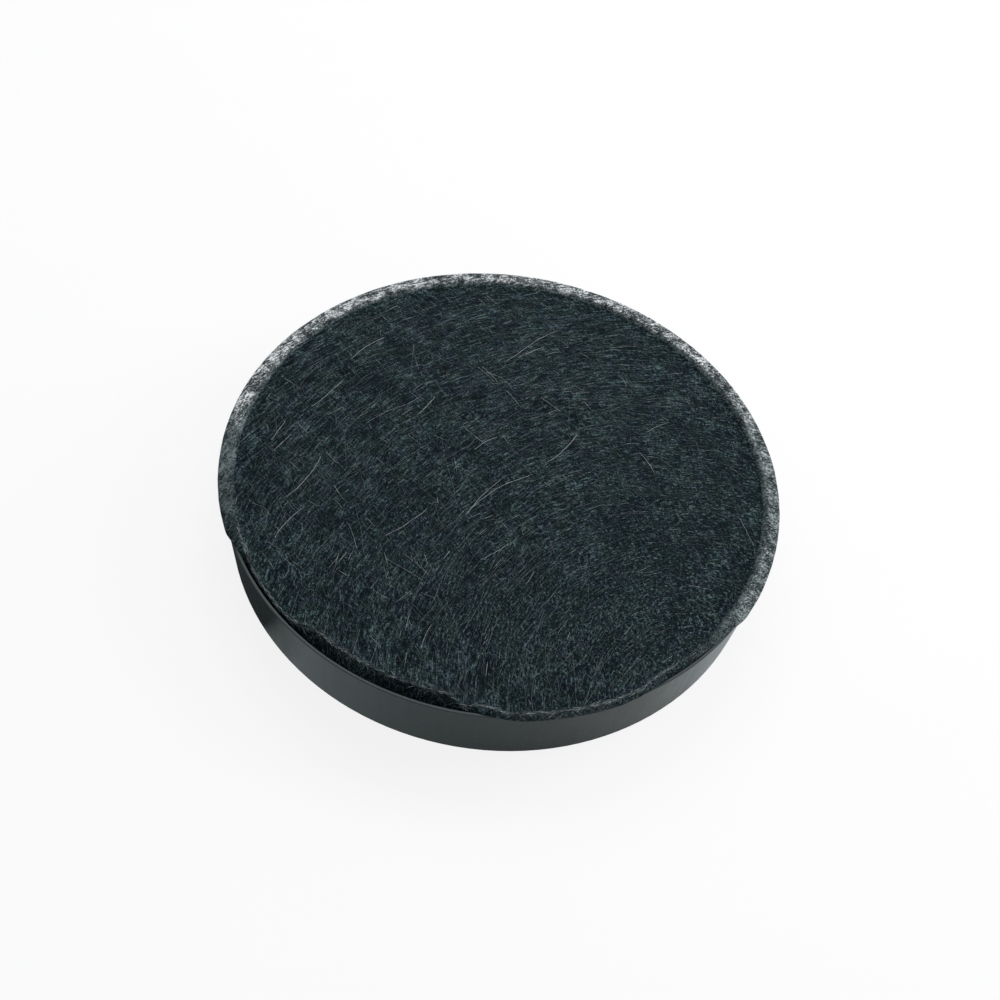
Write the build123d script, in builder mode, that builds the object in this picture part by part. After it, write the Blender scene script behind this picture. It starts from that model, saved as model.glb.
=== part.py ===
from build123d import *
import os

# A round charcoal filter for a cooker hood. A moulded tray with an open grille floor holds
# a fleece liner, a bed of charcoal granules and a felt cover, whose pressed rim lies over
# the tray's lip. The origin is the middle of the foot plane, +Z is up, and -Y is the front,
# where the rim is pinched, hangs over the lip and is then tucked down inside it.

# Tray
tray_height = 31.8
lip_radius = 118.4          # outside of the wall at the lip
foot_radius = 116.2         # outside of the wall at the foot: the wall has draft
wall_thickness = 1.3
lip_round = 0.4
foot_round = 1.0
floor_thickness = 3.0
foot_band = 11.0            # width of the closed band that the tray stands on
band_round = 0.8

# Floor grille
grille_thickness = 2.4      # the bars' tops are level with the floor, their undersides lie higher
bar_width = 2.2
bar_root = 0.5              # how far the bars run into the hub and the band
ring_count = 5
rib_count = 15              # ribs from the hub to the band
inner_gap_count = 2         # gaps from the hub outwards that have only these ribs

# Bayonet hub
socket_radius = 22.0
socket_depth = 12.0
hub_wall = 4.6
hub_cap = 2.4
hub_round = 1.5
track_count = 3
track_width = 4.6           # the lugs of the motor's spigot are a little narrower
track_turn = 14.0           # degrees that the filter turns to lock
track_end = 3.0             # from the top of the tracks to the end of the socket

# Filling
liner_thickness = 2.0
fit_clearance = 0.3         # between the soft pieces and what holds them
felt_thickness = 6.2        # from the bed up to the level of the lip
felt_sink = 0.3             # the felt's face lies this far below the lip at its edge
felt_crown = 0.9            # and rises by this much to its middle

# Felt rim
pressed = 0.8               # thickness of the hot-pressed rim
hem_lift = 0.3              # the underside of its hem stands off the lip by this much
overhang = 1.6              # how far the rim reaches past the outside of the lip
crest_inset = 2.7           # from the lip's inner edge in to the rim's crest
crest_rise = 1.3            # from the lip up to the crest
slope_width = 2.1           # from the crest in to the felt's face
droop = 1.2                 # how far the loose front hangs below the lip
fold_rise = 0.5             # from the lip up to the fold of the tucked front
deep_fold_inset = 5.4       # from the tucked hem in to the fold, where it is pushed in
close_fold_inset = 0.9      # and where it stays close to the wall
hanging_crest = 0.3         # from the lip's inner edge in to the crest of the loose front
hanging_rise = 1.6          # and from the lip up to it
side_slope = 1.5            # from the rim's crest in to the foot of the felt's side

# Worked out from these
lip_inside = lip_radius - wall_thickness
draft = (lip_radius - foot_radius) / tray_height
band_inside = foot_radius - foot_band
hub_radius = socket_radius + hub_wall
hub_height = socket_depth + hub_cap
track_depth = socket_depth - track_end
ring_pitch = (band_inside - hub_radius) / (ring_count + 1)
liner_top = floor_thickness + liner_thickness
felt_under = tray_height - felt_thickness
lean = max(draft, 0)        # where the wall narrows downwards, the felt inside it leans with it
side_inset = side_slope + lean * felt_thickness
tuck_depth = felt_thickness - pressed
tuck_inset = fit_clearance + lean * tuck_depth
core_radius = lip_inside - tuck_inset - deep_fold_inset - slope_width - side_inset
core_top = tray_height - felt_sink


def wall_inside(height):
    """The inner radius of the tray's wall at a height above the foot plane."""
    return foot_radius - wall_thickness + draft * height


# Tray: one moulding. The wall and the band under it are one turned section, and the grille
# and the hub, whose blind socket opens downwards, are moulded on.
with BuildPart() as tray:
    with BuildSketch(Plane.XZ) as wall_section:
        with BuildLine():
            Polyline(
                (band_inside, 0),
                (foot_radius, 0),
                (lip_radius, tray_height),
                (lip_inside, tray_height),
                (wall_inside(floor_thickness), floor_thickness),
                (band_inside, floor_thickness),
                close=True,
            )
        make_face()
        low_corners = wall_section.vertices().group_by(Axis.Y)[0].sort_by(Axis.X)
        fillet(wall_section.vertices().group_by(Axis.Y)[-1], radius=lip_round)
        fillet(low_corners[0], radius=band_round)
        fillet(low_corners[-1], radius=foot_round)
    with BuildSketch(Plane.XZ) as hub_section:
        with BuildLine():
            Polyline(
                (socket_radius, 0),
                (hub_radius, 0),
                (hub_radius, hub_height),
                (0, hub_height),
                (0, socket_depth),
                (socket_radius, socket_depth),
                close=True,
            )
        make_face()
        top_corners = hub_section.vertices().group_by(Axis.Y)[-1].sort_by(Axis.X)
        fillet(top_corners[-1], radius=hub_round)
    revolve(axis=Axis.Z)

    with BuildSketch(Plane.XY.offset(floor_thickness - grille_thickness)):
        for ring in range(ring_count, 0, -1):
            Circle(hub_radius + ring * ring_pitch + bar_width / 2)
            Circle(hub_radius + ring * ring_pitch - bar_width / 2, mode=Mode.SUBTRACT)
        for ribs_from, turned in ((0, 0.0), (inner_gap_count, 0.5)):
            start = hub_radius + ribs_from * ring_pitch - bar_root
            with PolarLocations(start, rib_count, start_angle=turned * 360 / rib_count):
                Rectangle(
                    band_inside + bar_root - start, bar_width, align=(Align.MIN, Align.CENTER)
                )
    extrude(amount=grille_thickness)

    with BuildSketch(Plane.XY):
        with PolarLocations(socket_radius, track_count):
            Circle(track_width / 2)
    extrude(amount=track_depth, mode=Mode.SUBTRACT)
    with BuildSketch(Plane.XY.offset(track_depth - track_width)):
        with PolarLocations(0, track_count):
            SlotArc(CenterArc((0, 0), socket_radius, 0, track_turn), track_width)
    extrude(amount=track_width, mode=Mode.SUBTRACT)

# Lower fleece: a thin disc laid on the grille, with a hole for the hub
with BuildPart() as lower_fleece:
    with BuildSketch(Plane.XY.offset(floor_thickness)):
        Circle(wall_inside(floor_thickness) - fit_clearance)
        Circle(hub_radius + fit_clearance, mode=Mode.SUBTRACT)
    extrude(amount=liner_thickness)

# Charcoal bed: it fills the tray from the fleece to the felt and closes over the hub
with BuildPart() as carbon_bed:
    with BuildSketch(Plane.XZ):
        with BuildLine():
            Polyline(
                (hub_radius + fit_clearance, liner_top),
                (wall_inside(liner_top) - fit_clearance, liner_top),
                (wall_inside(felt_under) - fit_clearance, felt_under),
                (0, felt_under),
                (0, hub_height + fit_clearance),
                (hub_radius + fit_clearance, hub_height + fit_clearance),
                close=True,
            )
        make_face()
    revolve(axis=Axis.Z)


def at(inset, rise):
    """A point of the rim's section: inwards from the lip's inner edge, and up from the lip."""
    return (lip_inside - inset, tray_height + rise)


def lying(reach, crest, rise):
    """The rim where it lies on the lip: reach is how far it goes out from the lip's inner edge."""
    bend = fit_clearance - reach
    return (
        at(crest + side_inset, -felt_thickness),
        at(fit_clearance, 0),
        at(bend, 0),
        at(-reach, hem_lift),
        at(-reach, pressed),
        at(bend, pressed),
        at(crest, rise),
        at(crest + slope_width, -felt_sink),
    )


def hanging(crest, rise):
    """The rim where it hangs over the lip, beside the wall."""
    beside = wall_thickness + fit_clearance
    return (
        at(crest + side_inset, -felt_thickness),
        at(fit_clearance, 0),
        at(-beside, 0),
        at(-beside, -droop),
        at(-beside - pressed + hem_lift, -droop),
        at(-beside - pressed / 2, pressed / 2),
        at(crest, rise),
        at(crest + slope_width, -felt_sink),
    )


def slipped(crest, rise):
    """The rim where it has slipped off the lip, inwards, and only just stays above it."""
    edge = 2 * fit_clearance
    return (
        at(crest + side_inset, -felt_thickness),
        at(edge + pressed, 0),
        at(edge + pressed / 2, 0),
        at(edge, hem_lift),
        at(edge, pressed),
        at(edge + pressed / 2, pressed),
        at(crest, rise),
        at(crest + slope_width, -felt_sink),
    )


def tucked(fold_inset):
    """The rim where it is folded down inside the wall: how far in from its hem the fold lies."""
    fold = tuck_inset + fold_inset
    slant = Vector(fold_inset, fold_rise + tuck_depth).normalized()
    bend = (fold + tuck_inset) / 2
    bend_depth = (tuck_depth - fold_rise) / 3
    inwards = pressed * slant.Y
    downwards = pressed * slant.X
    return (
        at(fold + side_inset, -felt_thickness),
        at(fold + inwards, -pressed),
        at(bend + inwards, -bend_depth - downwards),
        at(tuck_inset + inwards, -tuck_depth - downwards),
        at(tuck_inset, -tuck_depth),
        at(bend, -bend_depth),
        at(fold, fold_rise),
        at(fold + slope_width, -felt_sink),
    )


def rim_section(azimuth, outline):
    """The rim's section as a face on the upright half plane at an azimuth."""
    outwards = Vector(1, 0, 0).rotate(Axis.Z, azimuth)
    upright = Plane((0, 0, 0), x_dir=outwards, z_dir=outwards.cross(Vector(0, 0, 1)))
    with BuildSketch(upright) as section:
        with BuildLine():
            Polyline((core_radius, felt_under), *outline, (core_radius, core_top), close=True)
        make_face()
    return section.sketch.face()


# Felt cover: a domed disc with the rim round it. From one station to the next, round the
# front, the rim changes from one section to the other, and round the rest it stays the same.
resting = lying(wall_thickness + overhang, crest_inset, crest_rise)
halfway = lying(wall_thickness / 2, crest_inset, crest_rise)
lapping = lying(wall_thickness + 2 * fit_clearance, hanging_crest, pressed + felt_sink)
loose = hanging(hanging_crest, hanging_rise)
off_lip = slipped(crest_inset, pressed + felt_sink)
close_fold = tucked(close_fold_inset)
deep_fold = tucked(deep_fold_inset)
rim_stations = (
    (-156.0, resting),
    (-149.5, halfway),
    (-147.5, off_lip),
    (-144.0, close_fold),
    (-129.5, close_fold),
    (-123.0, deep_fold),
    (-94.5, deep_fold),
    (-90.5, close_fold),
    (-88.0, off_lip),
    (-85.5, halfway),
    (-82.5, lapping),
    (-80.5, loose),
    (-59.0, loose),
    (-56.0, lapping),
    (-52.0, halfway),
    (-47.5, off_lip),
    (-42.5, off_lip),
    (-38.0, halfway),
    (-26.0, resting),
    (204.0, resting),
)

with BuildPart() as felt_cover:
    with BuildSketch(Plane.XZ):
        with BuildLine():
            crown = TangentArc(
                (0, core_top + felt_crown), (core_radius, core_top), tangent=(1, 0)
            )
            Polyline(crown @ 1, (core_radius, felt_under), (0, felt_under), crown @ 0)
        make_face()
    revolve(axis=Axis.Z)
    for (start, outline), (end, next_outline) in zip(rim_stations, rim_stations[1:]):
        section = rim_section(start, outline)
        if next_outline is outline:
            revolve(section, axis=Axis.Z, revolution_arc=end - start)
        else:
            loft([section, rim_section(end, next_outline)], ruled=True)

os.makedirs("parts", exist_ok=True)
tray.part.label = "tray"
lower_fleece.part.label = "lower_fleece"
carbon_bed.part.label = "carbon_bed"
felt_cover.part.label = "felt_cover"
for piece in (tray, lower_fleece, carbon_bed, felt_cover):
    export_step(piece.part, f"parts/{piece.part.label}.step")
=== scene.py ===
import math
import random

import bpy
from mathutils import Matrix, Vector, noise
from mathutils.bvhtree import BVHTree


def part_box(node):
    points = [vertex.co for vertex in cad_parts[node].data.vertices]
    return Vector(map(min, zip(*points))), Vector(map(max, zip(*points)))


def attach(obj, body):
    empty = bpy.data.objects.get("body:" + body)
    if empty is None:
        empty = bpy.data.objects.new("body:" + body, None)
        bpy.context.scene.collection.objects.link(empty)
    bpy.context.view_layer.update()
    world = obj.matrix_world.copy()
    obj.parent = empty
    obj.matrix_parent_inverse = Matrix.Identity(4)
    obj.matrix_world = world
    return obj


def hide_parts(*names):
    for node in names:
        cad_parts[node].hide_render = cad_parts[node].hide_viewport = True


# A round charcoal filter for a cooker hood, dressed in the order in which it is put together:
# the moulded tray, the fleece on its grille, the charcoal, the felt cover, and the felt's
# loose fibres. Sizes are in metres, and the rim of the felt is measured from the tray's lip.
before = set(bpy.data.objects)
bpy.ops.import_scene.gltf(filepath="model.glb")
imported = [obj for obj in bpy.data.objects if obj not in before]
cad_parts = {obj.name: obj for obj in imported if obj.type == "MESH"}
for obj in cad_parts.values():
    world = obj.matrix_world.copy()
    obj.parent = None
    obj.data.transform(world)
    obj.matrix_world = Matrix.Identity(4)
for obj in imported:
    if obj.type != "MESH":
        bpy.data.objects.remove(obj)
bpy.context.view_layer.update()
bpy.ops.object.select_all(action="DESELECT")
mm = 0.001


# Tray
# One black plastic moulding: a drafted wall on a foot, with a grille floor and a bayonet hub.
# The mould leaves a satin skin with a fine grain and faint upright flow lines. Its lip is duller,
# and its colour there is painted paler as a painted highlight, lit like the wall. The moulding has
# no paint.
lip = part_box("tray")[1].z          # height of the tray's lip above the foot
lip_inside = 117.1 * mm            # radius of the lip's inner edge
lip_sheen_starts = 0.45 * mm         # this far below the lip its skin begins to get duller, and its painted highlight begins
lip_sheen_full = 0.1 * mm            # and here it is as dull, and as pale with painted highlight, as it gets
lip_sheen_colour = (0.050, 0.062, 0.065, 1)
lip_band_roughness = 0.2            # what the lip band adds to the skin's own roughness


class Shader:
    """A material's nodes, added one at a time, each with its values and links by name."""

    def __init__(self, name):
        self.material = bpy.data.materials.new(name)
        self.material.use_nodes = True
        self.tree = self.material.node_tree
        self.surface = self.tree.nodes["Principled BSDF"]
        self.place = self.node("TexCoord").outputs["Object"]

    def node(self, kind, settings=None, **inputs):
        """A new node: settings are its own choices, and inputs its sockets' values or links."""
        made = self.tree.nodes.new("ShaderNode" + kind)
        for setting, value in (settings or {}).items():
            setattr(made, setting, value)
        for socket, value in inputs.items():
            self.feed(made.inputs[socket.replace("_", " ")], value)
        return made

    def feed(self, socket, value):
        """Links an output to a socket, or sets the socket's own value."""
        if isinstance(value, bpy.types.NodeSocket):
            self.tree.links.new(value, socket)
        else:
            socket.default_value = value

    def math(self, operation, *values):
        """One step of arithmetic."""
        made = self.tree.nodes.new("ShaderNodeMath")
        made.operation = operation
        for socket, value in zip(made.inputs, values):
            self.feed(socket, value)
        return made.outputs[0]

    def noise(self, size, detail=2.0, roughness=0.5, stretch=(1, 1, 1)):
        """Noise whose grains have a size in metres, before they are stretched."""
        scaled = self.node("VectorMath", {"operation": "MULTIPLY"})
        self.feed(scaled.inputs[0], self.place)
        scaled.inputs[1].default_value = [1 / (size * s) for s in stretch]
        return self.node(
            "TexNoise", Vector=scaled.outputs[0], Scale=1.0, Detail=detail, Roughness=roughness
        ).outputs["Fac"]

    def ramp(self, factor, *stops):
        """A colour ramp through (position, colour) stops."""
        made = self.node("ValToRGB", Fac=factor)
        elements = made.color_ramp.elements
        while len(elements) < len(stops):
            elements.new(0.5)
        for element, (position, colour) in zip(elements, stops):
            element.position = position
            element.color = (*colour, 1)
        return made.outputs["Color"]

    def grade(self, factor, low, high, start=0.3, end=0.7):
        """A number that runs from low to high as the factor runs from start to end."""
        return self.node(
            "MapRange",
            Value=factor, From_Min=start, From_Max=end, To_Min=low, To_Max=high,
        ).outputs["Result"]

    def mix(self, factor, first, second):
        """A mix of two colours."""
        made = self.node("Mix", {"data_type": "RGBA"})
        self.feed(made.inputs["Factor"], factor)
        self.feed(made.inputs[6], first)
        self.feed(made.inputs[7], second)
        return made.outputs[2]

    def bump(self, height, distance):
        """Relief from a height of 0 to 1, with its depth in metres."""
        made = self.node("Bump", Height=height, Distance=distance, Strength=1.0)
        self.feed(self.surface.inputs["Normal"], made.outputs["Normal"])

    def set(self, **inputs):
        """Gives the surface its values and links, and returns the finished material."""
        for socket, value in inputs.items():
            self.feed(self.surface.inputs[socket.replace("_", " ")], value)
        return self.material


plastic = Shader("black_moulded_plastic")
grain = plastic.noise(0.45 * mm, detail=3)
flow = plastic.noise(3 * mm, stretch=(1, 1, 14))
cloud = plastic.noise(22 * mm, detail=3)
plastic.bump(grain, 0.02 * mm)
height = plastic.node("SeparateXYZ", Vector=plastic.place).outputs["Z"]
# Painted highlight: the top of the wall and the lip are painted paler, as if lit like the wall
# below
lip_sheen = plastic.grade(height, 0, 1, lip - lip_sheen_starts, lip - lip_sheen_full)
skin = plastic.ramp(cloud, (0.3, (0.008, 0.016, 0.017)), (0.7, (0.012, 0.021, 0.022)))
gloss = plastic.math("ADD", plastic.grade(flow, 0.24, 0.28), plastic.grade(cloud, 0.0, 0.05))
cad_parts["tray"].data.materials.clear()
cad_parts["tray"].data.materials.append(plastic.set(
    Base_Color=plastic.mix(lip_sheen, skin, lip_sheen_colour),
    Roughness=plastic.math("MULTIPLY_ADD", lip_sheen, lip_band_roughness, gloss),
    IOR=1.32,
))


# Floor fleece
# A thin black polyester fleece, needled and die-cut with a hole for the hub. It is laid on the
# grille before the charcoal is poured in, whose weight presses it a little into each opening.
fleece_bottom = 3.0 * mm
fleece_top = 5.0 * mm
fleece_outside = 114.8 * mm
fleece_hole = 26.9 * mm
hub_outside = 26.6 * mm
floor_inside = 105.2 * mm          # where the tray's closed foot band begins
bar_width = 2.2 * mm
gap_count = 6                      # openings of the grille between the hub and the band
rib_count = 15
inner_gaps = 2                     # gaps that have only every other rib
fleece_sag = 0.45 * mm             # how deep it sinks into an opening
sag_reach = 1.6 * mm               # how far from a bar it takes to sink
fleece_rough = 0.12 * mm           # the unevenness of its two faces


def ring_tube(name, segments, rings):
    """An open tube whose ring n stands at height n: a start that is then bent to its shape."""
    bpy.ops.mesh.primitive_circle_add(vertices=segments, radius=1)
    tube = bpy.context.object
    tube.name = tube.data.name = name
    bpy.ops.object.mode_set(mode="EDIT")
    bpy.ops.mesh.select_mode(type="EDGE")
    bpy.ops.mesh.select_all(action="SELECT")
    for _ in range(1, rings):
        bpy.ops.mesh.extrude_edges_move(TRANSFORM_OT_translate={"value": (0, 0, 1)})
    bpy.ops.object.mode_set(mode="OBJECT")
    return tube


def bend_rings(tube, shape):
    """Puts each vertex where shape says, from its ring's number and its azimuth in degrees."""
    for vertex in tube.data.vertices:
        azimuth = math.atan2(vertex.co.y, vertex.co.x)
        radius, height = shape(round(vertex.co.z), math.degrees(azimuth))
        vertex.co = (radius * math.cos(azimuth), radius * math.sin(azimuth), height)


def close_tube(tube, way):
    """Closes a bent tube at both ends, or joins them, and turns its faces outwards."""
    bpy.ops.object.mode_set(mode="EDIT")
    bpy.ops.mesh.select_mode(type="EDGE")
    if way == "bridge":
        bpy.ops.mesh.select_all(action="DESELECT")
        bpy.ops.mesh.select_non_manifold()
        bpy.ops.mesh.bridge_edge_loops()
    else:
        bpy.ops.mesh.select_all(action="SELECT")
        bpy.ops.mesh.fill_holes(sides=0)
        bpy.ops.mesh.select_mode(type="FACE")
        bpy.ops.mesh.select_all(action="DESELECT")
        bpy.ops.mesh.select_face_by_sides(number=4, type="GREATER")
        bpy.ops.mesh.poke()
    bpy.ops.mesh.select_all(action="SELECT")
    bpy.ops.mesh.normals_make_consistent(inside=False)
    bpy.ops.object.mode_set(mode="OBJECT")
    bpy.ops.object.shade_smooth()
    bpy.ops.object.select_all(action="DESELECT")


def opening_depth(radius, azimuth):
    """From 0 on a bar of the grille to 1 in the middle of an opening."""
    pitch = (floor_inside - hub_outside) / gap_count
    gap = (radius - hub_outside) / pitch
    if not 0 < gap < gap_count:
        return 0.0
    rib_step = 360 / rib_count if gap < inner_gaps else 180 / rib_count
    from_ring = min(gap % 1, 1 - gap % 1) * pitch - bar_width / 2
    from_rib = min(azimuth % rib_step, rib_step - azimuth % rib_step)
    from_rib = math.radians(from_rib) * radius - bar_width / 2
    nearest = min(from_ring, from_rib)
    return 1 - math.exp(-max(nearest, 0) / sag_reach)


fleece_segments = 360
fleece_rings = 84                  # half of them underneath and half on top


def fleece_shape(ring, azimuth):
    """Outwards along the underside, which sinks into the openings, and back over the top."""
    half = fleece_rings // 2
    share = ring / (half - 1) if ring < half else (fleece_rings - 1 - ring) / (half - 1)
    radius = fleece_hole + share * (fleece_outside - fleece_hole)
    rough = abs(fleece_rough * noise.noise(Vector((ring * 0.9, azimuth * 0.7, 0))))
    if ring < half:
        return radius, fleece_bottom - fleece_sag * opening_depth(radius, azimuth) + rough / 2
    return radius, fleece_top - rough


fleece = ring_tube("floor_fleece", fleece_segments, fleece_rings)
bend_rings(fleece, fleece_shape)
close_tube(fleece, "bridge")

web = Shader("black_fleece")
strands = web.noise(0.4 * mm, detail=2, roughness=0.7, stretch=(9, 1, 1))
cross = web.noise(0.4 * mm, detail=2, roughness=0.7, stretch=(1, 9, 1))
both = web.math("MAXIMUM", strands, cross)
web.bump(both, 0.25 * mm)
fleece.data.materials.append(web.set(
    Base_Color=web.ramp(both, (0.42, (0.006, 0.008, 0.008)), (0.6, (0.03, 0.036, 0.037)),
                        (0.78, (0.09, 0.10, 0.10))),
    Roughness=0.85,
    Sheen_Weight=0.25,
    Sheen_Roughness=0.5,
))
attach(fleece, "root")
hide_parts("lower_fleece")


# Charcoal bed
# Activated charcoal in granules of two to four millimetres, poured in loose and levelled. The
# felt and the fleece shut it in on all sides, so that nothing of it shows in use.
granule = 3 * mm
granule_relief = 1.2 * mm
charcoal = Shader("charcoal_granules")
cells = charcoal.node(
    "TexVoronoi", {"feature": "F1"}, Vector=charcoal.place, Scale=1 / granule, Randomness=1.0
)
charcoal.bump(charcoal.math("SUBTRACT", 1.0, cells.outputs["Distance"]), granule_relief)
shade = charcoal.node("SeparateColor", Color=cells.outputs["Color"]).outputs["Red"]
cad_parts["carbon_bed"].data.materials.clear()
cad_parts["carbon_bed"].data.materials.append(charcoal.set(
    Base_Color=charcoal.ramp(shade, (0.0, (0.010, 0.010, 0.010)), (1.0, (0.035, 0.035, 0.036))),
    Roughness=charcoal.grade(shade, 0.45, 0.8, 0, 1),
))


# Felt cover
# A disc of needled polyester felt. Its edge is pressed hot to a thin grey glazed rim, which
# lies on the lip of the tray, and which at the front is pinched, hangs over, and is tucked in.
felt_segments = 288
felt_thickness = 6.2 * mm          # down to the charcoal
felt_sink = 0.3 * mm               # the face's edge lies this far below the lip
felt_crown = 0.9 * mm              # and rises by this much to the middle
core_inset = 10.1 * mm             # from the lip's inner edge in to where the rim starts
face_groove = 0.45 * mm            # how much deeper the face lies right beside the rim
groove_width = 2.5 * mm
face_rings = 30
under_rings = 4


def section(*places):
    """The rim's section from the felt's side round to its face, in millimetres: how far inside
    the lip's inner edge each point lies, and how far above the lip."""
    return [(inset * mm, rise * mm) for inset, rise in places]


# Points in order: side's foot, side, root, bend under the rim, hem below, hem above, shoulder,
# outside of the crest, crest, inside of the crest, slope, edge of the face
resting = section(
    (4.6, -6.0), (2.2, -2.6), (0.6, 0.05), (-1.5, 0.05), (-2.8, 0.25), (-2.9, 0.55),
    (-1.2, 0.9), (1.2, 1.15), (2.6, 1.35), (3.3, 1.1), (4.1, 0.3), (5.0, -0.35),
)
halfway = section(
    (4.6, -6.0), (2.2, -2.6), (0.6, 0.05), (0.0, 0.05), (-0.5, 0.25), (-0.65, 0.6),
    (0.2, 0.95), (1.6, 1.2), (2.6, 1.3), (3.3, 1.1), (4.1, 0.3), (5.0, -0.35),
)
lapping = section(
    (2.4, -6.0), (1.3, -2.6), (0.6, 0.05), (-1.4, 0.05), (-1.8, 0.1), (-1.9, 0.5),
    (-1.2, 0.85), (-0.2, 1.1), (0.5, 1.2), (1.1, 0.9), (1.9, 0.25), (2.8, -0.35),
)
loose = section(
    (2.4, -6.0), (1.3, -2.6), (0.6, 0.05), (-1.62, 0.05), (-1.6, -1.2), (-2.05, -1.2),
    (-2.1, 0.0), (-1.3, 0.85), (0.2, 1.6), (0.9, 1.35), (1.7, 0.35), (2.8, -0.35),
)
off_lip = section(
    (4.2, -6.0), (1.6, -2.6), (0.6, -0.4), (0.35, -0.15), (0.15, 0.05), (0.05, 0.35),
    (0.9, 0.75), (2.1, 1.1), (3.0, 1.2), (3.7, 1.0), (4.4, 0.3), (5.2, -0.35),
)
close_fold = section(
    (3.6, -6.0), (2.9, -3.5), (2.4, -1.6), (1.9, -3.4), (1.5, -5.3), (0.8, -5.3),
    (0.9, -2.6), (1.1, -0.4), (1.6, 0.45), (2.3, 0.4), (2.9, 0.05), (3.6, -0.35),
)
deep_fold = section(
    (8.0, -6.0), (7.2, -3.0), (6.2, -1.2), (4.2, -3.2), (1.5, -5.7), (0.9, -5.2),
    (3.3, -2.6), (5.2, -0.4), (5.9, 0.35), (6.6, 0.35), (7.2, 0.0), (7.9, -0.35),
)
# Round the felt: azimuth in degrees, where the front is -90 and the right-hand side 0, the
# section there, and how far the press has glazed it, with a painted highlight added: the share
# is raised at the back, where the rim mirrors the window behind, and lowered at the sides
rim_stations = (
    (-153, resting, 0.3), (-148.5, halfway, 0.25), (-147, off_lip, 0.2), (-144, close_fold, 0.2),
    (-129.5, close_fold, 0.1), (-123, deep_fold, 0.0), (-94.5, deep_fold, 0.0),
    (-90.5, close_fold, 0.1), (-88, off_lip, 0.2), (-85.5, halfway, 0.2), (-82.5, lapping, 0.3),
    (-80.5, loose, 0.33), (-60, loose, 0.33), (-56.5, lapping, 0.3), (-52, halfway, 0.27),
    (-47.5, off_lip, 0.25), (-39.5, off_lip, 0.32), (-33.5, halfway, 0.45),
    (-27.5, resting, 0.66), (10, resting, 0.67), (35, resting, 0.76), (55, resting, 0.93),
    (100, resting, 1.0), (165, resting, 1.0), (185, resting, 0.6), (194, resting, 0.48),
    (201, resting, 0.38), (207, resting, 0.3),
)
rim_points = len(resting)
hem_points = range(4, 7)           # the hem's two edges and the shoulder
crest_points = range(7, 11)        # from the outside of the crest to the slope
# How much of the glaze reaches each point of the section
pressed_share = (0, 0, 0.2, 1, 1, 1, 1, 1, 0.95, 0.8, 0.6, 0.14)
torn_edge = 0.25 * mm              # how far the hem strays in short waves
wavy_edge = 0.3 * mm               # and in long ones
uneven_crest = 0.16 * mm


def blend_stations(azimuth):
    """The rim's section and its glaze share, which carries a painted highlight, at an azimuth,
    blended between the stations beside it.
    """
    turned = (azimuth - rim_stations[0][0]) % 360 + rim_stations[0][0]
    for (start, first, dull), (end, second, bright) in zip(rim_stations, rim_stations[1:]):
        if start <= turned <= end:
            share = (turned - start) / (end - start)
            share = share * share * (3 - 2 * share)
            outline = [
                (a + share * (c - a), b + share * (d - b))
                for (a, b), (c, d) in zip(first, second)
            ]
            return outline, dull + share * (bright - dull)


def wave(size, azimuth, layer):
    """Smooth noise from about -1 to 1 round the rim, with waves of about that size."""
    turn = math.radians(azimuth)
    reach = lip_inside / size
    return noise.noise(Vector((reach * math.cos(turn), reach * math.sin(turn), layer)))


def felt_shape(ring, azimuth):
    """Under the felt from its middle outwards, round the rim, and back over the face."""
    if ring < under_rings:
        share = (ring + 1) / (under_rings + 1)
        return (lip_inside - core_inset) * share, lip - felt_thickness
    if ring < under_rings + rim_points:
        point = ring - under_rings
        inset, rise = blend_stations(azimuth)[0][point]
        ragged = torn_edge * wave(2.2 * mm, azimuth, 3) + wavy_edge * wave(9 * mm, azimuth, 5)
        if point in hem_points:        # a hem below the lip has little room to stray
            inset += ragged * (0.6 if rise >= 0 else 0.2)
        if point in crest_points:
            inset += 0.7 * ragged
            rise += uneven_crest * wave(3 * mm, azimuth, 7)
        return lip_inside - inset, lip + rise
    edge, _ = blend_stations(azimuth)[0][-1]
    share = 1 - (ring - under_rings - rim_points + 1) / (face_rings + 1)
    radius = (lip_inside - edge) * share
    dome = felt_crown * (1 - share ** 2) * (3 - share) / 3
    groove = face_groove * math.exp((radius - lip_inside + edge) / groove_width)
    return radius, lip - felt_sink + dome - groove


felt = ring_tube("felt_disc", felt_segments, under_rings + rim_points + face_rings)
glaze_and_sheen = felt.data.attributes.new("glaze_and_sheen", "FLOAT", "POINT")
for vertex in felt.data.vertices:
    ring = round(vertex.co.z) - under_rings
    if 0 <= ring < rim_points:
        azimuth = math.degrees(math.atan2(vertex.co.y, vertex.co.x))
        # the share is the real pressing times each station's glaze, which holds a painted highlight
        glaze_and_sheen.data[vertex.index].value = pressed_share[ring] * blend_stations(azimuth)[1]
bend_rings(felt, felt_shape)
rounding = felt.modifiers.new("rounding", "SUBSURF")
rounding.levels = rounding.render_levels = 1
bpy.ops.object.modifier_apply(modifier=rounding.name)
close_tube(felt, "poles")

# The face is not flat: it has shallow hollows, and tufts where the needles drew the fibres up
hollow_depth = 0.45 * mm
hollow_size = 26 * mm
tuft_height = 0.12 * mm
tuft_size = 2.4 * mm
rim_width = 5.5 * mm               # the rim itself has no hollows,
hollows_grow = 12 * mm             # and they are at their full depth this far in from it
face_depth = 1 * mm                # nothing lower than this below the lip is part of the face
for vertex in felt.data.vertices:
    x, y, z = vertex.co
    on_face = max(0.0, min(1.0, (lip_inside - rim_width - math.hypot(x, y)) / hollows_grow))
    if z > lip - face_depth:
        vertex.co.z += hollow_depth * on_face * noise.noise(vertex.co / hollow_size)
        vertex.co.z += tuft_height * noise.noise(vertex.co / tuft_size)
felt.data.update()


steep_step = 1 * mm                # on a steep side the arcs change with each step in height
arc_wander = 17 * mm               # and everywhere they wander in waves of this size


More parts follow.
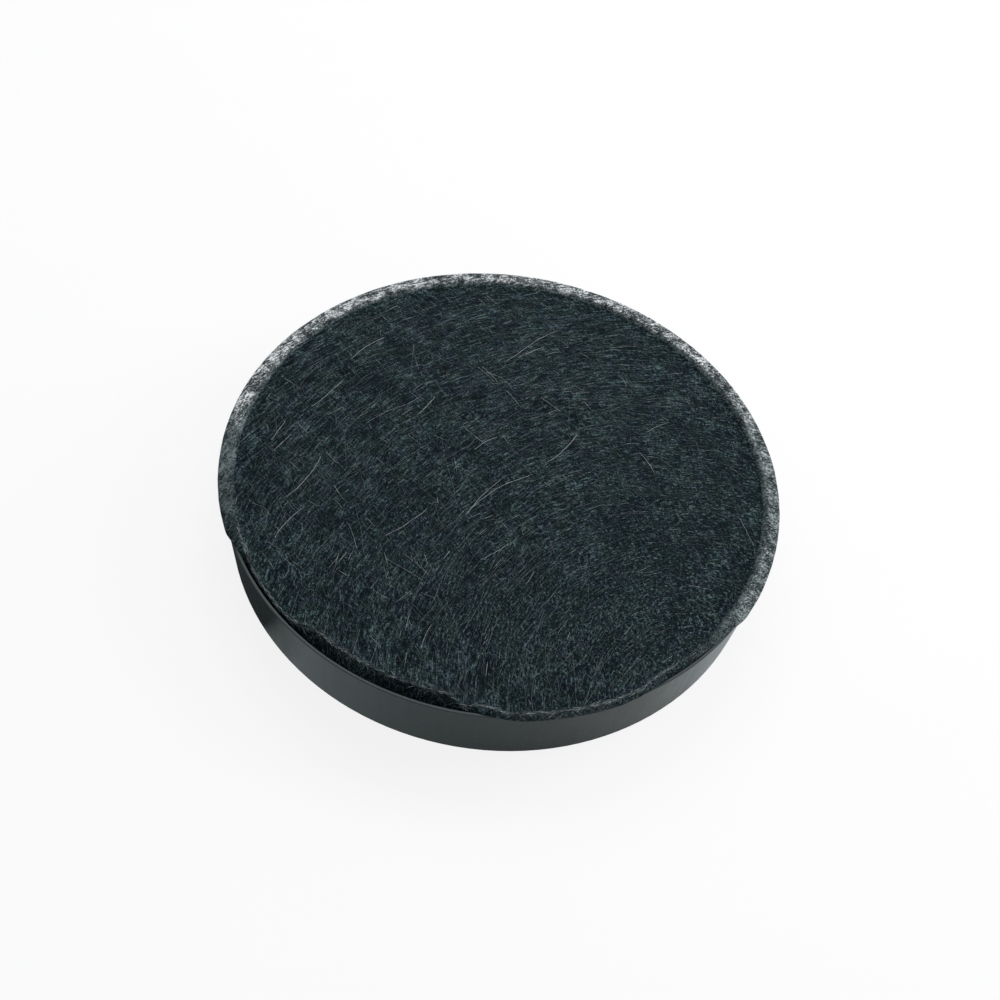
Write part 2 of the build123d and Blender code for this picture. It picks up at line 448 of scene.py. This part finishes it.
def arcs(shader, centre, along, across, warp, detail=2.0):
    """Noise drawn out along arcs round a centre, as fibres lie in a carded web. The centre is
    outside the felt, and the seam of the angle is turned away from it."""
    away = math.atan2(centre[1], centre[0])
    moved = shader.node("VectorMath", {"operation": "SUBTRACT"})
    shader.feed(moved.inputs[0], shader.place)
    moved.inputs[1].default_value = (*centre, 0)
    turned = shader.node("Mapping", Vector=moved.outputs[0], Rotation=(0, 0, math.pi - away))
    wander = shader.node("TexNoise", Vector=shader.place, Scale=1 / arc_wander, Detail=2.0)
    shifted = shader.node("SeparateXYZ", Vector=turned.outputs[0])
    x, y = shifted.outputs["X"], shifted.outputs["Y"]
    squared = shader.math("ADD", shader.math("MULTIPLY", x, x), shader.math("MULTIPLY", y, y))
    radius = shader.math("SQRT", squared)
    angle = shader.math("ARCTAN2", y, x)
    strayed = shader.math("MULTIPLY_ADD", wander.outputs["Fac"], warp, radius)
    middle = math.hypot(*centre)
    height = shader.node("SeparateXYZ", Vector=shader.place).outputs["Z"]
    rolled = shader.node(
        "CombineXYZ",
        X=shader.math("MULTIPLY", strayed, 1 / across),
        Y=shader.math("MULTIPLY", angle, middle / along),
        Z=shader.math("MULTIPLY", height, 1 / steep_step),
    )
    return shader.node(
        "TexNoise", Vector=rolled.outputs[0], Scale=1.0, Detail=detail, Roughness=0.6
    ).outputs["Fac"]


main_centre = (95 * mm, -96 * mm)      # most fibres run in arcs round a point at the front right
cross_centre = (-190 * mm, -170 * mm)  # and those of a second web run across them

needled = Shader("needled_felt")
long_arcs = arcs(needled, main_centre, 4 * mm, 0.7 * mm, 5 * mm, 3.0)
crossing = arcs(needled, cross_centre, 3.5 * mm, 0.7 * mm, 5 * mm, 3.0)
fuzz = needled.noise(0.8 * mm, detail=3, roughness=0.7)
patch = needled.noise(12 * mm, detail=2)
tint = needled.noise(7 * mm, detail=1)
lie = needled.math("MAXIMUM", long_arcs, needled.math("SUBTRACT", crossing, 0.05))
lie = needled.math("MULTIPLY_ADD", fuzz, 0.45, needled.math("MULTIPLY", lie, 0.55))
lie = needled.math("ADD", lie, needled.grade(patch, -0.02, 0.02))
web_colour = needled.ramp(
    lie, (0.45, (0.0010, 0.0040, 0.0044)), (0.51, (0.0056, 0.0142, 0.0154)),
    (0.56, (0.021, 0.041, 0.043)), (0.62, (0.105, 0.155, 0.158)),
)
bluish = needled.node("HueSaturation", Hue=0.54, Saturation=1.15, Value=1.0, Color=web_colour)
web_colour = needled.mix(
    needled.grade(tint, 0.0, 1.0, 0.42, 0.58), web_colour, bluish.outputs["Color"]
)
# The glaze is silvery where the fibres have melted together and dark where it is torn. Its share
# also carries a painted highlight, so that the rim is more silvery at the back
rim_glaze_and_sheen = needled.node("Attribute", {"attribute_name": "glaze_and_sheen"}).outputs["Fac"]
strokes = arcs(needled, main_centre, 2.4 * mm, 0.75 * mm, 6 * mm)
grains = needled.noise(0.9 * mm, detail=4, roughness=0.75)
blotch = needled.noise(5 * mm, detail=2)
speckle = needled.math("MULTIPLY_ADD", grains, 0.6, needled.math("MULTIPLY", strokes, 0.4))
speckle = needled.math("ADD", speckle, needled.grade(blotch, -0.06, 0.06))
silver = needled.ramp(
    speckle, (0.40, (0.007, 0.013, 0.015)), (0.475, (0.06, 0.072, 0.077)),
    (0.53, (0.25, 0.275, 0.28)), (0.60, (0.86, 0.89, 0.90)),
)
grey = needled.ramp(
    speckle, (0.41, (0.012, 0.018, 0.020)), (0.50, (0.060, 0.082, 0.087)),
    (0.59, (0.165, 0.205, 0.212)),
)
worn_glaze_and_sheen = needled.math("ADD", rim_glaze_and_sheen, needled.grade(fuzz, -0.1, 0.1))
edge = needled.grade(worn_glaze_and_sheen, 0, 1, 0.25, 0.5)
melted_and_lit = needled.grade(worn_glaze_and_sheen, 0, 1, 0.62, 0.85)
glint = needled.grade(speckle, 0.0, 0.5, 0.45, 0.58)
needled.bump(needled.mix(edge, lie, speckle), 0.5 * mm)
felt.data.materials.append(needled.set(
    Base_Color=needled.mix(edge, web_colour, needled.mix(melted_and_lit, grey, silver)),
    Roughness=needled.grade(melted_and_lit, 0.85, 0.45, 0, 1),
    Specular_IOR_Level=needled.math("MULTIPLY_ADD", edge, glint, 0.1),
))
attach(felt, "root")
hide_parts("felt_cover")


# Loose fibres
# Polyester fibres that the needles left lying on the face. Most follow the arcs of the carded
# web and dip back into it at both ends, and some stray across it, alone or in pairs.
dice = random.Random(240)
fibre_radius = 0.062 * mm
fibre_step = 2.4 * mm              # a fibre is straight for about this long
fibre_waver = 0.05                 # and then turns by about this many radians
fibre_sink = 0.06 * mm             # how far its ends lie below the surface
tip_share = 0.55                   # how thick its ends are beside its middle
well_above = 20 * mm               # where the rays that look for the surface start


def fibre_profile():
    """A small triangle, which is the section that all fibres are swept with."""
    outline = bpy.data.curves.new("fibre_section", "CURVE")
    outline.dimensions = "2D"
    corners = outline.splines.new("POLY")
    corners.points.add(2)
    corners.use_cyclic_u = True
    for corner, turn in zip(corners.points, (90, 210, 330)):
        x, y = math.cos(math.radians(turn)), math.sin(math.radians(turn))
        corner.co = (fibre_radius * x, fibre_radius * y, 0, 1)
    profile = bpy.data.objects.new("fibre_section", outline)
    bpy.context.scene.collection.objects.link(profile)
    return profile


felt_surface = BVHTree.FromPolygons(
    [vertex.co for vertex in felt.data.vertices], [face.vertices for face in felt.data.polygons]
)


def face_height(x, y):
    """The height of the felt's face or rim at a place, found by a ray from above."""
    above = Vector((x, y, lip + well_above))
    place, *_ = felt_surface.ray_cast(above, Vector((0, 0, -1)))
    return place.z if place else None


def lay_fibre(bundle, start, heading, length, bow, lift, shade, thick):
    """One fibre along the surface, which dips at its ends: heading and bow are in radians, and
    thick is a share of fibre_radius."""
    steps = max(3, round(length / fibre_step))
    points = []
    x, y = start
    for step in range(steps + 1):
        height = face_height(x, y)
        if height is None:
            break
        arch = math.sin(math.pi * step / steps)
        points.append((x, y, height + lift * arch - fibre_sink))
        x += length / steps * math.cos(heading)
        y += length / steps * math.sin(heading)
        heading += bow / steps + dice.gauss(0, fibre_waver)
    if len(points) < 3:
        return
    spline = bundle.splines.new("POLY")
    spline.points.add(len(points) - 1)
    spline.material_index = shade
    for step, (point, place) in enumerate(zip(spline.points, points)):
        point.co = (*place, 1)
        point.radius = thick * (tip_share if step in (0, len(points) - 1) else 1.0)


def fibre_bundle(name, profile, materials):
    """An empty bundle of fibres, which becomes one mesh when it is finished."""
    bundle = bpy.data.curves.new(name, "CURVE")
    for material in materials:
        bundle.materials.append(material)
    bundle.dimensions = "3D"
    bundle.bevel_mode = "OBJECT"
    bundle.bevel_object = profile
    bundle.use_fill_caps = False
    holder = bpy.data.objects.new(name, bundle)
    bpy.context.scene.collection.objects.link(holder)
    return holder


def finish_bundle(holder):
    """Turns a bundle into a mesh that rides with the felt."""
    bpy.ops.object.select_all(action="DESELECT")
    holder.select_set(True)
    bpy.context.view_layer.objects.active = holder
    bpy.ops.object.convert(target="MESH")
    made = bpy.context.object
    bpy.ops.object.shade_smooth()
    bpy.ops.object.select_all(action="DESELECT")
    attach(made, "root")


def fibre_material(name, dull, bright):
    """Polyester fibre whose shade changes from place to place, smooth enough to glint."""
    strand = Shader(name)
    change = strand.noise(4 * mm, detail=2)
    return strand.set(
        Base_Color=strand.ramp(change, (0.35, dull), (0.65, bright)),
        Roughness=strand.grade(change, 0.35, 0.55),
        Sheen_Weight=0.1,
    )


fibre_materials = [
    fibre_material("dark_fibre", (0.035, 0.050, 0.052), (0.09, 0.12, 0.125)),
    fibre_material("grey_fibre", (0.11, 0.14, 0.145), (0.24, 0.28, 0.29)),
    fibre_material("pale_fibre", (0.52, 0.58, 0.58), (0.84, 0.88, 0.88)),
]
shades = range(len(fibre_materials))
pale = shades[-1]


def arc_heading(x, y):
    """The heading of the carded web's arcs at a place."""
    return math.atan2(y - main_centre[1], x - main_centre[0]) + math.pi / 2


def place_on_face(reach):
    """An evenly spread place within a radius of the middle."""
    radius = reach * math.sqrt(dice.random())
    turn = dice.uniform(0, 2 * math.pi)
    return radius * math.cos(turn), radius * math.sin(turn)


face_reach = 111 * mm
face_fibre_count = 5200
stray_share = 0.24
stray_more = 0.3                   # this much more of them stray on the left of the face
left_of = -20 * mm
stray_heading = math.radians(-42)
drawn_out_share = 0.2              # these are three times as long
drawn_out_shades = (0.66, 0.33, 0.01)
short_shades = (0.72, 0.24, 0.04)  # shares of the dark, the grey and the pale ones
profile = fibre_profile()
web_fibres = fibre_bundle("face_fibres", profile, fibre_materials)
for _ in range(face_fibre_count):
    x, y = place_on_face(face_reach)
    stray = dice.random() < stray_share + stray_more * (x < left_of)
    heading = arc_heading(x, y) + dice.gauss(0, 0.12)
    if stray:
        heading = stray_heading + dice.gauss(0, 0.3)
    drawn_out = dice.random() < drawn_out_share
    shade = dice.choices(shades, drawn_out_shades if drawn_out else short_shades)[0]
    length = dice.uniform(3, 10) * (3 if drawn_out else 1) * mm
    lay_fibre(web_fibres.data, (x, y), heading, length, dice.gauss(0, 0.15),
              dice.uniform(0.08, 0.25) * mm, shade, dice.uniform(0.5, 0.95))

# The longest ones, which catch the light: from and to in millimetres, and the bow in degrees
longest_fibres = (
    (-8, 61, 21, 83, -32), (-2, 66, 11, 76, -8), (-19, 57, -10, 50, 3), (-17, 58, -9, 49, 0),
    (-6, 51, -2, 48, 0), (-5, 46, 3, 38, 0), (11, 45, 21, 37, 0), (-41, 23, -34, 35, 6),
    (31, 46, 35, 41, 0), (17, 7, 34, 24, 8), (-14, 8, -4, 18, -15), (-3, 19, 1, 15, 0),
    (-13, -28, 7, 7, -14), (-12, -26, 0, -4, -10), (-44, -44, -27, -27, 10), (-3, -48, 8, -35, 14),
    (2, -27, 7, -32, 0), (18, -3, 20, -5, 0), (-87, -53, -79, -34, -20), (-53, -36, -48, -40, 0),
    (-88, -33, -75, -7, 28), (57, 23, 67, 12, 0), (60, 34, 69, 42, -8), (102, -4, 111, -18, 0),
    (75, -8, 78, -11, 0), (-76, 49, -62, 67, -22), (-88, 17, -75, 37, 10), (-100, -4, -95, 9, 0),
    (-98, -10, -92, 2, 0), (-90, -13, -84, -18, 0), (-90, 7, -85, 3, 0), (-76, -5, -70, -11, 0),
)
longest_lift = 0.35 * mm
longest_thickness = 1.1
for x, y, to_x, to_y, bow in longest_fibres:
    way = Vector((to_x - x, to_y - y)) * mm
    turn = math.radians(bow)
    heading = math.atan2(way.y, way.x) - turn / 2
    lay_fibre(web_fibres.data, (x * mm, y * mm), heading, way.length, turn,
              longest_lift, pale, longest_thickness)
finish_bundle(web_fibres)


# Fibres of the edge
# Short ends that stand out where the rim is bent: along the crest of the loose front, along
# the fold of the tucked front, and less on the crest of the rest.
edge_fibre_count = 2100            # two of three are at the front
front_arc = (-154, -46)            # azimuths in degrees
rest_arc = (-46, 206)
crest_point = 8                    # the crest's place in the rim's section
front_shades = (0.4, 0.4, 0.2)
back_shades = (0.5, 0.45, 0.05)
edge_fibres = fibre_bundle("edge_fibres", profile, fibre_materials)
for number in range(edge_fibre_count):
    front = number % 3 > 0
    azimuth = dice.uniform(*(front_arc if front else rest_arc))
    inset, _ = blend_stations(azimuth)[0][crest_point]
    radius = lip_inside - inset + dice.gauss(0, (0.16 if front else 0.5) * mm)
    turn = math.radians(azimuth)
    x, y = radius * math.cos(turn), radius * math.sin(turn)
    heading = turn + dice.choice((-1, 1)) * math.pi / 2 + dice.gauss(0, 0.25 if front else 0.6)
    shade = dice.choices(shades, front_shades if front else back_shades)[0]
    length = dice.uniform(1.5, 4 if front else 6) * mm
    lay_fibre(edge_fibres.data, (x, y), heading, length, dice.gauss(0, 0.3),
              dice.uniform(0.08, 0.2) * mm, shade, dice.uniform(0.5, 0.9))
finish_bundle(edge_fibres)
bpy.data.objects.remove(profile)


# Floor, light and camera
# A plain white table under soft daylight: a broad window behind, a faint one above, and a
# small bright one at the right. The table is not part of the filter.
bpy.ops.mesh.primitive_plane_add(size=6)
table = bpy.context.object
table.name = "table"
white = Shader("white_table")
paper = white.set(
    Base_Color=white.ramp(
        white.noise(60 * mm), (0.3, (0.93, 0.93, 0.93)), (0.7, (0.95, 0.95, 0.95))
    ),
    Roughness=0.9,
)
shown_white = 0.85                 # the share of plain white that the camera sees in the table
mirrored_white = 0.12              # and the share that the wall mirrors of it at the front,
mirrored_right = 0.66              # at the far right,
mirrored_left = 0.4                # and at the left
rays = white.node("LightPath")
mirrored = white.math("MAXIMUM", rays.outputs["Is Glossy Ray"], rays.outputs["Is Transmission Ray"])
# Painted shade in reflections: a patch of the table at the left front is darkened for glossy rays
# only, so that the wall mirrors dark at its left
painted_shade_middle = (-128 * mm, -52 * mm, 0)
painted_shade_radius = 46 * mm
painted_shade_fades = 70 * mm
painted_shade_darkness = 0.95
from_painted_shade = white.node("VectorMath", {"operation": "DISTANCE"})
white.feed(from_painted_shade.inputs[0], white.place)
from_painted_shade.inputs[1].default_value = painted_shade_middle
painted_shade = white.grade(from_painted_shade.outputs["Value"], painted_shade_darkness, 0, painted_shade_radius, painted_shade_fades)
painted_shade = white.math("MULTIPLY", painted_shade, mirrored)
sideways = white.node("SeparateXYZ", Vector=white.place).outputs["X"]
mirrored_share = white.math(
    "MAXIMUM", white.grade(sideways, mirrored_white, mirrored_right, 78 * mm, 114 * mm),
    white.grade(sideways, mirrored_white, mirrored_left, 40 * mm, -50 * mm),
)
mirrored = white.math("MAXIMUM", painted_shade, white.math("MULTIPLY", mirrored, mirrored_share))
plain_white = (1, 1, 1, 1)
cool_white = (0.84, 0.98, 1.0, 1)
backdrop = white.node(
    "Emission", Color=white.mix(rays.outputs["Is Camera Ray"], cool_white, plain_white),
    Strength=white.math("SUBTRACT", 1.0, painted_shade),
)
mixed = white.node(
    "MixShader",
    Fac=white.math("MULTIPLY_ADD", rays.outputs["Is Camera Ray"], shown_white, mirrored),
)
white.tree.links.new(white.surface.outputs[0], mixed.inputs[1])
white.tree.links.new(backdrop.outputs[0], mixed.inputs[2])
white.tree.links.new(mixed.outputs[0], white.tree.nodes["Material Output"].inputs["Surface"])
table.data.materials.append(paper)

# The sky's light is faint, and what the camera sees of it is made up to plain white: each
# step adds the share of one kind of ray to the step before, and the first to the light itself
world = bpy.data.worlds.new("soft_daylight")
world.use_nodes = True
sky_nodes, sky_links = world.node_tree.nodes, world.node_tree.links
sky = sky_nodes["Background"]
sky.inputs["Color"].default_value = (0.94, 0.97, 1.0, 1)
sky_light = 0.3
sky_rays = sky_nodes.new("ShaderNodeLightPath").outputs
strength = None
for ray, share in (("Is Camera Ray", 0.7), ("Is Glossy Ray", 0.06), ("Is Transmission Ray", 0.06)):
    added = sky_nodes.new("ShaderNodeMath")
    added.operation = "MULTIPLY_ADD"
    sky_links.new(sky_rays[ray], added.inputs[0])
    added.inputs[1].default_value = share
    added.inputs[2].default_value = sky_light
    if strength:
        sky_links.new(strength, added.inputs[2])
    strength = added.outputs[0]
sky_links.new(strength, sky.inputs["Strength"])
bpy.context.scene.world = world


def window(name, place, width, height, power):
    """A soft rectangular lamp that faces the middle of the filter."""
    lamp = bpy.data.lights.new(name, "AREA")
    lamp.shape = "RECTANGLE"
    lamp.size, lamp.size_y = width, height
    lamp.energy = power
    holder = bpy.data.objects.new(name, lamp)
    holder.location = place
    holder.rotation_euler = (-Vector(place)).to_track_quat("-Z", "Y").to_euler()
    bpy.context.scene.collection.objects.link(holder)


window("window_behind", (-0.12, 0.86, 1.02), 1.3, 0.7, 8.7)
window("window_above", (0.25, 0.1, 1.3), 1.0, 1.0, 1.5)
window("window_right", (0.91, 0.40, 0.50), 0.6, 0.6, 7.6)

# The camera looks at the middle of the foot plane, from the front and a little rolled
camera_data = bpy.data.cameras.new("camera")
camera_data.sensor_width = 36.0    # camera sizes are in millimetres
camera_data.lens = 47.61
camera_data.shift_x = 0.00395
camera_data.shift_y = 0.0142
camera_data.clip_start = 0.01
camera = bpy.data.objects.new("camera", camera_data)
distance = 592 * mm
elevation = math.radians(53.37)
roll = math.radians(9.144)
camera.location = (0, -distance * math.cos(elevation), distance * math.sin(elevation))
aim = (-camera.location).to_track_quat("-Z", "Y")
camera.rotation_euler = (aim.to_matrix() @ Matrix.Rotation(roll, 3, "Z")).to_euler()
bpy.context.scene.collection.objects.link(camera)
bpy.context.scene.camera = camera
bpy.context.scene.view_settings.view_transform = "Standard"
